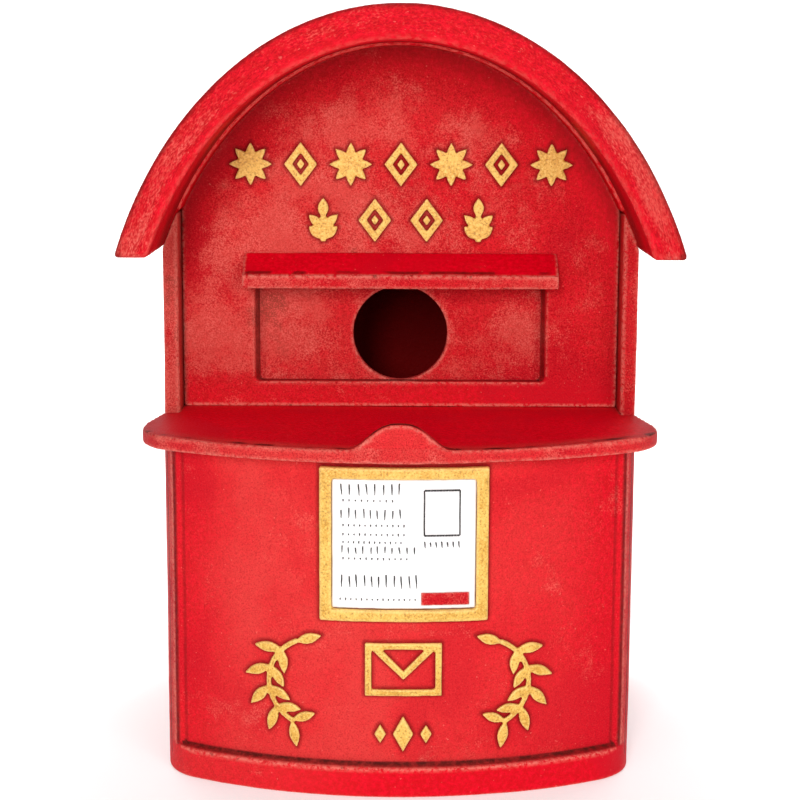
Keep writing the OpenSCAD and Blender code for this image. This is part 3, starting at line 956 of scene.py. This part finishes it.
# ---------- trim that the CAD leaves out ----------


def close_rings(bm, rings):
    """A closed solid from a row of rings with the same number of points."""
    for a, b in zip(rings, rings[1:]):
        for k in range(len(a)):
            n = (k + 1) % len(a)
            bm.faces.new((a[k], a[n], b[n], b[k]))
    bm.faces.new(rings[0])
    bm.faces.new(rings[-1])


def arch_bead():
    """The low bead that closes the join between the soffit and the upper panel's recess."""
    proud, tuck = 0.0009, 0.0006
    front, back = WALL_LO.y + 0.0004, PANEL_LO.y + 0.0008
    steps = 160
    apex = INNER_HW - 0.0002
    start = math.asin(math.sqrt(1 - (apex / SOFFIT_A) ** 2))
    bm = bmesh.new()
    rings = []
    for i in range(steps + 1):
        t = start + (math.pi - 2 * start) * i / steps
        across = Vector((math.cos(t) * SOFFIT_A, 0, math.sin(t) * SOFFIT_B))
        normal = Vector((math.cos(t) / SOFFIT_A, 0, math.sin(t) / SOFFIT_B)).normalized()
        middle = across + Vector((0, 0, ARCH_Z))
        section = [
            (tuck, front + 0.0003), (-proud * 0.45, front), (-proud * 0.9, front + 0.0004),
            (-proud, front + 0.0012), (-proud, back), (tuck, back),
        ]
        rings.append([bm.verts.new(middle + normal * r + Vector((0, y, 0))) for r, y in section])
    close_rings(bm, rings)
    bead = bmesh_object("arch_bead", bm)
    co = points_of(bead.data)
    store(bead.data, "wear", 0.65 * ridge(co[:, 1] - front, 0.0010))
    store(bead.data, "grain", grain_place(co, True))
    for mask in ("crevice_and_shade", "join", "brush", "rose_and_sheen", "inside"):
        store(bead.data, mask, np.zeros(len(co)))
    bead.data.materials.append(RED)
    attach(bead, "root")


def on_plate(x, z, out=0.0):
    """A point on the notice plate's curved face, out in front of it."""
    r = FIELD_R + PLATE_PROUD + out
    return Vector((x, BOW_Y - math.sqrt(r * r - x * x), z))


def brush_stroke(bm, x, z, length, width, lean, square=False):
    """One thin painted stroke on the plate, thicker at its top, as a low closed ridge."""
    rings = []
    cuts = 5
    shake = 0.00004
    # share of the width across, and rise above the plate
    section = ((-0.5, -0.0001), (-0.3, 0.00012), (0.3, 0.00012), (0.5, -0.0001))
    for i in range(cuts + 1):
        t = i / cuts
        wide = width * (0.5 + 0.5 * math.sin(math.pi * min(1, 0.25 + t * 0.8)))
        if square:
            wide = width
        at_x = x + lean * (0.5 - t) + random.uniform(-1, 1) * shake
        at_z = z + length * (0.5 - t)
        rings.append([bm.verts.new(on_plate(at_x + s * wide, at_z, rise)) for s, rise in section])
    close_rings(bm, rings)


def notice_marks():
    """Rows of strokes and dots that stand for writing, and an empty stamp box."""
    bm = bmesh.new()
    width = NOTICE_HI.x - NOTICE_LO.x
    height = NOTICE_HI.z - NOTICE_LO.z
    pen, fine_pen = 0.00062, 0.0006

    def place(u, v):
        return NOTICE_LO.x + u * width, NOTICE_HI.z - v * height

    # share of the plate's height, first and last place across, count, stroke length
    stroke_rows = (
        (0.075, 0.07, 0.47, 8, 0.0034),
        (0.265, 0.07, 0.47, 9, 0.0031),
        (0.545, 0.07, 0.57, 11, 0.0022),
        (0.785, 0.07, 0.59, 11, 0.0040),
    )
    for v, u0, u1, count, length in stroke_rows:
        for i in range(count):
            x, z = place(u0 + (u1 - u0) * i / (count - 1), v)
            x += random.uniform(-1, 1) * 0.0002
            brush_stroke(
                bm, x, z + random.uniform(-1, 1) * 0.0003, length * random.uniform(0.85, 1.1),
                pen, random.uniform(-0.4, 0.1) * MM,
            )
    # rows of dots: the same without the length
    for v, u0, u1, count in (
        (0.165, 0.08, 0.42, 9), (0.355, 0.08, 0.50, 12), (0.425, 0.08, 0.50, 12),
        (0.485, 0.08, 0.48, 12), (0.61, 0.08, 0.52, 12), (0.925, 0.06, 0.58, 15),
    ):
        for i in range(count):
            x, z = place(u0 + (u1 - u0) * i / (count - 1), v)
            brush_stroke(bm, x, z, random.uniform(0.5, 0.9) * MM, fine_pen, 0.0)
    # the empty stamp box and the short strokes under it
    left, right, top, foot = 0.640, 0.885, 0.085, 0.430
    for u in (left, right):
        x, z = place(u, (top + foot) / 2)
        brush_stroke(bm, x, z, (foot - top) * height, pen, 0.0, square=True)
    steps = 12
    for v in (top, foot):
        for i in range(steps):
            x, z = place(left + (right - left) * (i + 0.5) / steps, v)
            dash = (right - left) * width / steps * 1.15
            brush_stroke(bm, x, z, fine_pen, dash, 0.0, square=True)
    for i in range(7):
        x, z = place(left + (right - left) * (0.02 + 0.96 * i / 6), 0.50)
        brush_stroke(bm, x, z, 0.0019 * random.uniform(0.8, 1.1), fine_pen, -0.0002)
    marks = bmesh_object("notice_marks", bm)
    store(marks.data, "grain", points_of(marks.data) / MM)
    marks.data.materials.append(INK)
    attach(marks, "root")


arch_bead()
notice_marks()


# ---------- stage, light and camera ----------


def backdrop():
    """A pale floor that curves up into a backdrop far behind the box."""
    half, front, back, bend, top = 6.0, -8.0, 1.6, 0.6, 3.0
    line = [(front, 0.0), (back - bend, 0.0)]
    line += [
        (back - bend + bend * math.sin(a), bend - bend * math.cos(a))
        for a in (math.radians(90) * i / 16 for i in range(1, 17))
    ]
    line.append((back, top))
    bm = bmesh.new()
    rows = [[bm.verts.new((x, y, z)) for x in (-half, half)] for y, z in line]
    for a, b in zip(rows, rows[1:]):
        bm.faces.new((a[0], a[1], b[1], b[0]))
    floor = bmesh_object("backdrop", bm)
    s = Shader("pale_floor")
    place = s.node("ShaderNodeTexCoord").outputs["Object"]
    clouds = s.noise(place, 3.0, 2.0, 0.5)
    body = s.mix(clouds, (0.76, 0.76, 0.76), (0.79, 0.79, 0.79))
    floor.data.materials.append(s.finish(
        body, 0.9, Specular_IOR_Level=0.1, Emission_Color=(1, 1, 1, 1), Emission_Strength=0.28,
    ))


def softbox(name, place, aim, size, power, spread=180):
    """A rectangular area light: sizes in metres, power in watts, spread in degrees."""
    lamp = bpy.data.lights.new(name, "AREA")
    lamp.shape = "RECTANGLE"
    lamp.size, lamp.size_y = size
    lamp.energy = power
    lamp.spread = math.radians(spread)
    obj = new_object(name, lamp)
    obj.location = place
    obj.rotation_euler = (Vector(aim) - Vector(place)).to_track_quat("-Z", "Y").to_euler()


def camera():
    """Seen from the front, from roof height, with a short telephoto lens."""
    distance, height = 0.6303, 0.2229
    eye = Vector((0.0, -distance, height))
    pitch, roll = math.radians(9.615), math.radians(0.25)
    data = bpy.data.cameras.new("camera")
    data.lens = 85
    data.sensor_width = 36
    data.clip_start = 0.01
    obj = new_object("camera", data)
    turn = Euler((math.pi / 2 - pitch, 0, 0)).to_matrix() @ Matrix.Rotation(roll, 3, "Z")
    obj.matrix_world = Matrix.Translation(eye) @ turn.to_4x4()
    bpy.context.scene.camera = obj


def world():
    """A weak white light from all round."""
    made = bpy.data.worlds.new("studio")
    made.use_nodes = True
    background = made.node_tree.nodes["Background"]
    background.inputs["Color"].default_value = (1.0, 1.0, 1.0, 1)
    background.inputs["Strength"].default_value = 0.12
    bpy.context.scene.world = made


backdrop()
world()
middle = (cad_box[0] + cad_box[1]) / 2
# name, place, what it points at, size, power, spread
softbox("key", (-0.24, -1.45, 0.56), middle, (0.30, 0.62), 13.2)
softbox("fill", (0.70, -1.30, 0.50), middle, (0.60, 0.70), 5.2)
softbox("overhead", (0.0, -0.42, 1.00), (0.0, -0.06, 0.1), (0.60, 0.40), 2.4)
softbox("backdrop_light", (0.0, 0.95, 1.50), (0.0, 0.90, 0.0), (2.2, 1.0), 17, 95)
camera()
bpy.context.scene.view_settings.view_transform = "Standard"
